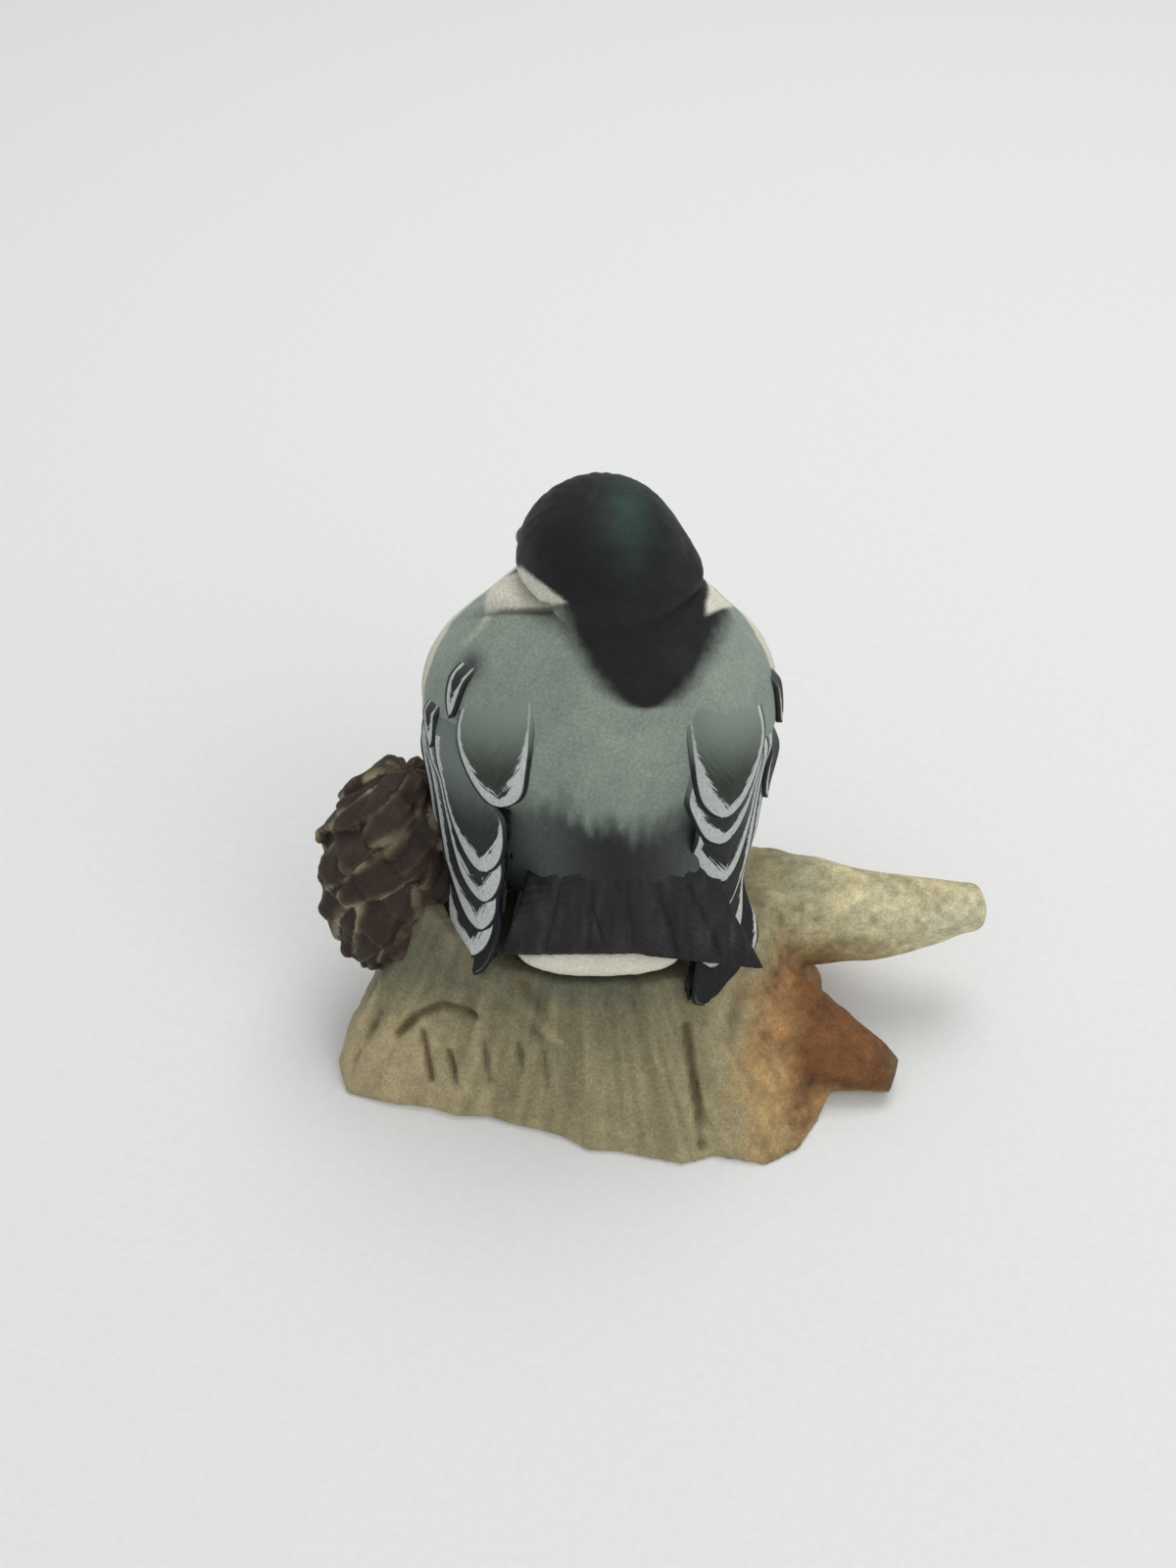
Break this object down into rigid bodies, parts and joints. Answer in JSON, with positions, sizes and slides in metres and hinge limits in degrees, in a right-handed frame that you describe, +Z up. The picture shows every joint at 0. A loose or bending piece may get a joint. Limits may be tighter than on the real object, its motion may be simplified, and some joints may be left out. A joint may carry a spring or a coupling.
{
  "type": "porcelain bird figurine",
  "caption": "Bisque porcelain figurine of a young black-capped songbird on a broken tree stump, with a pine cone on one side and a branch stub on the other.",
  "frame": {"origin": "point on the stump's flat underside below the middle of the bird, where the figurine stands on the table", "axes": "+Z up, +Y the way the bird faces, +X to the bird's right, the side the branch points to"},
  "size_m": [0.0847, 0.0536, 0.076],
  "materials": {
    "bark_bisque": "matte bisque, tan at the foot and grey-green below the bird",
    "branch_bisque": "matte bisque, pale cream-yellow with brown shading",
    "cone_bisque": "matte bisque, dark brown with cream edges on the scales",
    "grey_bisque": "matte bisque, airbrushed grey-green",
    "black_bisque": "matte bisque, airbrushed black",
    "bill_bisque": "satin black",
    "eye_enamel": "gloss black enamel",
    "wing_bisque": "matte bisque, dark feathers with white painted edges",
    "tail_bisque": "matte bisque, charcoal",
    "cream_bisque": "matte bisque, cream",
    "foot_bisque": "matte bisque, blue-grey"
  },
  "bodies": {
    "root": {"stump": "bark_bisque", "branch": "branch_bisque", "broken_snag": "branch_bisque", "cone_core": "cone_bisque", "cone_scales_top": "cone_bisque", "cone_scales_middle": "cone_bisque", "cone_scales_tip": "cone_bisque", "bird_body": "grey_bisque", "head": "black_bisque", "upper_bill": "bill_bisque", "lower_bill": "bill_bisque", "left_eye": "eye_enamel", "right_eye": "eye_enamel", "left_wing_coverts": "grey_bisque", "left_wing_tertials": "wing_bisque", "left_wing_primaries": "wing_bisque", "right_wing_coverts": "grey_bisque", "right_wing_tertials": "wing_bisque", "right_wing_primaries": "wing_bisque", "tail": "tail_bisque", "undertail_coverts": "cream_bisque", "left_flank": "cream_bisque", "right_flank": "cream_bisque", "left_foot": "foot_bisque", "right_foot": "foot_bisque"}
  },
  "joints": []
}
